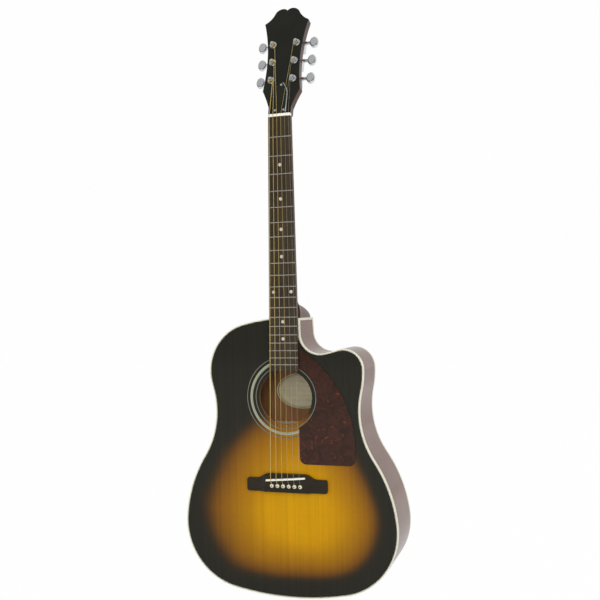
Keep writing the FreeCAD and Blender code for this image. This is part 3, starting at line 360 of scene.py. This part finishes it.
# ---- pieces that replace a CAD node --------------------------------------------------------
def islands(mesh):
    """An editable copy of a mesh, and its separately connected sets of vertices."""
    work = bmesh.new()
    work.from_mesh(mesh)
    work.verts.index_update()
    left = set(work.verts)
    groups = []
    while left:
        stack = [left.pop()]
        group = set(stack)
        while stack:
            for edge in stack.pop().link_edges:
                for other in edge.verts:
                    if other in left:
                        left.discard(other)
                        group.add(other)
                        stack.append(other)
        groups.append(group)
    return work, groups


def piece_from(work, group, name):
    """A new object from some of a mesh's vertices, with its faces joined up."""
    part = work.copy()
    wanted = {vert.index for vert in group}
    part.verts.ensure_lookup_table()
    unwanted = [vert for vert in part.verts if vert.index not in wanted]
    bmesh.ops.delete(part, geom=unwanted, context="VERTS")
    bmesh.ops.remove_doubles(part, verts=part.verts, dist=1e-6)
    for face in part.faces:
        face.smooth = False
    mesh = bpy.data.meshes.new(name)
    part.to_mesh(mesh)
    part.free()
    piece = bpy.data.objects.new(name, mesh)
    bpy.context.scene.collection.objects.link(piece)
    return piece


def width_of(group):
    return max(vert.co.x for vert in group) - min(vert.co.x for vert in group)


NEAR = 0.0002                 # closer than this counts as on the same line


def mark_across(piece):
    """Store 0 along the outer rim of a ring and 1 along its inner rim."""
    work = bmesh.new()
    work.from_mesh(piece.data)
    front = min(vert.co.y for vert in work.verts)
    level = {face for face in work.faces if face.calc_center_median().y < front + NEAR / 2}
    rim = {edge for edge in work.edges if sum(face in level for face in edge.link_faces) == 1}
    loops = []
    while rim:
        stack = [rim.pop()]
        loop = set(stack[0].verts)
        while stack:
            for vert in stack.pop().verts:
                for edge in vert.link_edges:
                    if edge in rim:
                        rim.discard(edge)
                        loop.update(edge.verts)
                        stack.append(edge)
        loops.append(loop)
    inner = min(loops, key=width_of)
    inner_places = KDTree(len(inner))
    for index, vert in enumerate(inner):
        inner_places.insert((vert.co.x, 0, vert.co.z), index)
    inner_places.balance()
    attribute = piece.data.attributes.new("across", "FLOAT", "POINT")
    for vert in work.verts:
        distance = inner_places.find((vert.co.x, 0, vert.co.z))[2]
        attribute.data[vert.index].value = float(distance < NEAR)
    work.free()


FLAT_DEPTH = 0.001            # faces no deeper than this lie in the soundboard's front
PURFLING_DEPTH = 0.005        # only the cream ring reaches deeper than this


def rear_of(group):
    return max(vert.co.y for vert in group)


def split_binding(cream):
    """The cream binding and the black and white purfling as two pieces."""
    work, groups = islands(nodes["binding_top"].data)
    flat_front = [group for group in groups if rear_of(group) < FRONT_Y + FLAT_DEPTH]
    rim_face = max(flat_front, key=width_of)
    binding, purfling = set(), set()
    for group in groups:
        cream_face = group is rim_face or rear_of(group) > FRONT_Y + PURFLING_DEPTH
        (binding if cream_face else purfling).update(group)
    ring = piece_from(work, binding, "binding_top_ring")
    plies = piece_from(work, purfling, "purfling_ring")
    work.free()
    mark_across(plies)
    ring.data.materials.append(cream)
    plies.data.materials.append(purfling_material())
    for piece in (ring, plies):
        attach(piece, "root")
        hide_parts("binding_top")


COVER_BEVEL = 0.9 * MM


def rod_cover_material():
    """Black plastic with a painted highlight: its bevel is painted pale grey where it faces the treble
    side.
    """
    shader = Shader("rod_cover_painted_highlight")
    side, front, _ = shader.facing()
    treble = shader.math("GREATER_THAN", side, 0.3)
    painted_highlight = shader.math("MULTIPLY", treble, shader.math("GREATER_THAN", front, -0.9))
    cloud = shader.noise(shader.place((40, 40, 40)), 1.0, 3.0)
    black = shader.ramp(cloud, [(0.3, srgb(31, 31, 26)), (0.7, srgb(35, 35, 30))])
    # The pale grey on the treble-facing bevel is a painted highlight, standing in for the reflection of
    # light from the right.
    return shader.finish(shader.mix(painted_highlight, black, srgb(186, 190, 186)), 0.14, ior=1.3)


def bevel_rod_cover():
    """The truss-rod cover with its front outline bevelled."""
    work, groups = islands(nodes["truss_rod_cover"].data)
    cover = piece_from(work, set().union(*groups), "truss_rod_cover_bevelled")
    work.free()
    work = bmesh.new()
    work.from_mesh(cover.data)
    widest = max(work.faces, key=lambda face: face.calc_area() * (face.normal.y < -0.9))
    level = widest.normal.copy()
    # The front face's outline: level on one side of the edge, square to it on the other.
    outline = []
    for edge in work.edges:
        slopes = sorted(face.normal.dot(level) for face in edge.link_faces)
        if slopes[0] < 0.1 and slopes[-1] > 0.9999:
            outline.append(edge)
    bmesh.ops.bevel(work, geom=outline, offset=COVER_BEVEL, segments=1, affect="EDGES")
    work.to_mesh(cover.data)
    work.free()
    cover.data.materials.append(rod_cover_material())
    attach(cover, "root")
    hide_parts("truss_rod_cover")


def purfling_material():
    """Five plies, black outside."""
    shader = Shader("purfling_plies")
    across = shader.add("ShaderNodeAttribute", attribute_name="across").outputs["Fac"]
    black, white = srgb(18, 17, 14), srgb(214, 212, 190)
    plies = [(0.0, black), (0.20, white), (0.40, black), (0.60, white), (0.80, black)]
    return shader.finish(shader.ramp(across, plies, "CONSTANT"), 0.12, ior=1.42)


# ---- dressing the frame -----------------------------------------------------------------
def dress_body():
    dress("soundboard", spruce_top())
    side = wood("mahogany_side", (84, 47, 29), (124, 74, 46), (420, 420, 9), 0.16, 1.6, pores=0.22)
    dress("side_bass", side)
    dress("side_treble", side)
    dress("back_plate", back_material())
    inner = wood("bare_spruce", (144, 100, 60), (180, 138, 92), (260, 260, 12), 0.6)
    for name in ("soundboard_braces", "kerfed_linings", "bridge_plate"):
        dress(name, inner)
    dark_inner = wood("bare_mahogany", (128, 82, 54), (160, 108, 74), (240, 240, 12), 0.6)
    for name in ("neck_block", "tail_block"):
        dress(name, dark_inner)
    # The back braces are bare spruce, painted paler than the other braces: painted light, standing in for
    # the light falling on them through the sound hole.
    dress("back_braces", wood("pale_brace_painted_light", (176, 142, 108), (206, 172, 136), (12, 260, 260), 0.6))
    cream = plain("cream_binding", srgb(228, 224, 202), 0.18, vary=0.03, ior=1.4)
    split_binding(cream)
    dress("binding_back", cream)
    dress("rosette_rings", rosette_material())
    dress("pickguard", tortoise())
    dress("label", label_material())


def dress_fittings():
    dress("fingerboard", wood("dark_rosewood", (38, 32, 23), (74, 61, 44), (520, 200, 14), 0.36,
                              pores=0.3, contrast=1.2))
    dress("bridge", wood("bridge_rosewood", (34, 30, 22), (50, 45, 34), (14, 200, 520), 0.28, 1.25,
                         pores=0.3))
    bone = plain("white_bone", srgb(240, 238, 228), 0.22, vary=0.02)
    dress("saddle", bone)
    dress("nut", bone)
    dress("bridge_pins", pin_material())
    dress("end_pin", plain("cream_pin_plain", srgb(230, 220, 194), 0.25, vary=0.03))
    dress("position_dots", plain("pearl", srgb(197, 192, 182), 0.15, vary=0.08, scale=300))
    dress("frets", plain("nickel", (0.52, 0.50, 0.47, 1), 0.26, 1.0))
    dress("neck", wood("neck_mahogany", (62, 37, 28), (98, 64, 48), (420, 420, 8), 0.30, pores=0.2))
    black = plain("black_lacquer", srgb(31, 32, 27), 0.10, ior=1.25, vary=0.1, rough_vary=0.02)
    dress("headstock_veneer", black)
    bevel_rod_cover()
    dress("truss_rod", plain("rod_steel", (0.4, 0.4, 0.4, 1), 0.4, 1.0))
    chrome = plain("chrome", (0.82, 0.83, 0.84, 1), 0.08, 1.0, vary=0.02, rough_vary=0.03)
    satin = plain("chrome_button", (0.84, 0.86, 0.88, 1), 0.20, 1.0, vary=0.03, rough_vary=0.04)
    for name in ("tuner_housings", "tuner_bushings", "screws"):
        dress(name, chrome)
    bronze = wound("bronze_wrap", srgb(224, 198, 122), 0.42)
    steel = plain("music_wire", srgb(206, 198, 170), 0.35, 0.7)
    for number in range(1, 7):
        dress(f"worm_shaft_{number}", chrome)
        dress(f"string_post_{number}", chrome)
        dress(f"tuner_button_{number}", satin)
        wire = bronze if number >= 3 else steel
        dress(f"string_{number}", wire)
        dress(f"string_winding_{number}", wire)


# ---- stage ------------------------------------------------------------------------------
CAMERA_PLACE = Vector((0.4882, FRONT_Y - 1.4088, 0.5207))
CAMERA_YAW, CAMERA_PITCH, CAMERA_ROLL = (math.radians(a) for a in (17.976, 0.394, -1.264))


def make_camera():
    """A 50 mm lens a little to the treble side and almost level."""
    forward = Vector((-math.sin(CAMERA_YAW) * math.cos(CAMERA_PITCH),
                      math.cos(CAMERA_YAW) * math.cos(CAMERA_PITCH), math.sin(CAMERA_PITCH)))
    right = Vector((math.cos(CAMERA_YAW), math.sin(CAMERA_YAW), 0.0))
    up = right.cross(forward)
    tilted_right = right * math.cos(CAMERA_ROLL) + up * math.sin(CAMERA_ROLL)
    tilted_up = up * math.cos(CAMERA_ROLL) - right * math.sin(CAMERA_ROLL)
    turn = Matrix((tilted_right, tilted_up, -forward)).transposed()
    data = bpy.data.cameras.new("camera")
    data.lens = 50.0
    data.sensor_width = 36.0
    camera = bpy.data.objects.new("camera", data)
    camera.matrix_world = Matrix.Translation(CAMERA_PLACE) @ turn.to_4x4()
    bpy.context.scene.collection.objects.link(camera)
    bpy.context.scene.camera = camera


FLOOR_HALF = 6.0
FLOOR_SEEN = 0.985            # how white the camera sees the floor
FLOOR_GLOSS = 0.45            # and how bright it is in gloss


def make_floor():
    """A pale floor under the end pin. It shows white, and keeps a faint shadow."""
    mesh = bpy.data.meshes.new("floor")
    signs = ((-1, -1), (1, -1), (1, 1), (-1, 1))
    corners = [(x * FLOOR_HALF, y * FLOOR_HALF, FLOOR_Z) for x, y in signs]
    mesh.from_pydata(corners, [], [(0, 1, 2, 3)])
    floor = bpy.data.objects.new("floor", mesh)
    bpy.context.scene.collection.objects.link(floor)
    shader = Shader("floor_white")
    paths = shader.add("ShaderNodeLightPath").outputs
    shader.finish(grey(0.8), 0.9)
    glow = shader.add("ShaderNodeEmission")
    glow.inputs["Color"].default_value = grey(1.0)
    seen = shader.math("MULTIPLY", paths["Is Camera Ray"], FLOOR_SEEN)
    seen = shader.math("ADD", seen, shader.math("MULTIPLY", paths["Is Glossy Ray"], FLOOR_GLOSS))
    mixer = shader.add("ShaderNodeMixShader")
    shader.put(mixer.inputs[0], seen)
    shader.put(mixer.inputs[1], shader.bsdf.outputs[0])
    shader.put(mixer.inputs[2], glow.outputs[0])
    shader.put(shader.out.inputs["Surface"], mixer.outputs[0])
    mesh.materials.append(shader.material)


AMBIENT = 0.50                # diffuse light from all round
BEHIND_GLOSS = 0.80           # what gloss sees of the white backdrop
FRONT_GLOSS = 0.13            # and of the darker studio in front
ABOVE_GLOSS = 0.6             # and of the light overhead
BACKDROP = 0.99               # what the camera sees


def make_world():
    """Light from all round: even for diffuse rays, by direction for gloss, white to the camera."""
    world = bpy.data.worlds.new("studio")
    bpy.context.scene.world = world
    world.use_nodes = True
    tree = world.node_tree
    tree.nodes.clear()
    add = tree.nodes.new
    link = tree.links.new
    out = add("ShaderNodeOutputWorld")
    paths = add("ShaderNodeLightPath")
    coords = add("ShaderNodeTexCoord")
    split = add("ShaderNodeSeparateXYZ")
    link(coords.outputs["Generated"], split.inputs[0])

    def by_direction(axis, start, end, low, high, curve="LINEAR"):
        node = add("ShaderNodeMapRange")
        node.interpolation_type = curve
        for name, value in (("From Min", start), ("From Max", end), ("To Min", low), ("To Max", high)):
            node.inputs[name].default_value = value
        link(split.outputs[axis], node.inputs["Value"])
        return node.outputs[0]

    side = by_direction("Y", -0.35, 0.15, FRONT_GLOSS, BEHIND_GLOSS, "SMOOTHSTEP")
    above = by_direction("Z", 0.2, 0.9, 0.0, ABOVE_GLOSS)
    gloss = add("ShaderNodeMath")
    gloss.operation = "MAXIMUM"
    link(side, gloss.inputs[0])
    link(above, gloss.inputs[1])
    strength = add("ShaderNodeMix")
    link(paths.outputs["Is Glossy Ray"], strength.inputs[0])
    strength.inputs[2].default_value = AMBIENT
    link(gloss.outputs[0], strength.inputs[3])
    seen = add("ShaderNodeMath")
    seen.operation = "MAXIMUM"
    link(paths.outputs["Is Camera Ray"], seen.inputs[0])
    link(paths.outputs["Is Transmission Ray"], seen.inputs[1])
    final = add("ShaderNodeMix")
    link(seen.outputs[0], final.inputs[0])
    link(strength.outputs[0], final.inputs[2])
    final.inputs[3].default_value = BACKDROP
    background = add("ShaderNodeBackground")
    background.inputs["Color"].default_value = grey(1.0)
    link(final.outputs[0], background.inputs["Strength"])
    link(background.outputs[0], out.inputs["Surface"])


def add_lamp(name, place, target, size, power):
    """A soft lamp that gloss doesn't see."""
    data = bpy.data.lights.new(name, "AREA")
    data.shape = "RECTANGLE"
    data.size, data.size_y = size
    data.energy = power
    lamp = bpy.data.objects.new(name, data)
    lamp.location = place
    lamp.rotation_euler = (Vector(target) - Vector(place)).to_track_quat("-Z", "Y").to_euler()
    lamp.visible_glossy = False
    bpy.context.scene.collection.objects.link(lamp)


def make_lights():
    middle = (0.0, 0.0, 0.5)
    add_lamp("key", (1.6, -2.2, 1.9), middle, (1.6, 1.6), 22)
    add_lamp("front", (0.45, -2.5, 0.95), middle, (0.9, 0.9), 18)
    add_lamp("fill", (-2.2, -1.8, 1.0), middle, (1.6, 1.8), 12)
    add_lamp("rim", (1.8, 1.6, 1.3), middle, (1.2, 1.6), 16)


dress_body()
dress_fittings()
make_camera()
make_floor()
make_world()
make_lights()
scene = bpy.context.scene
scene.view_settings.view_transform = "Standard"
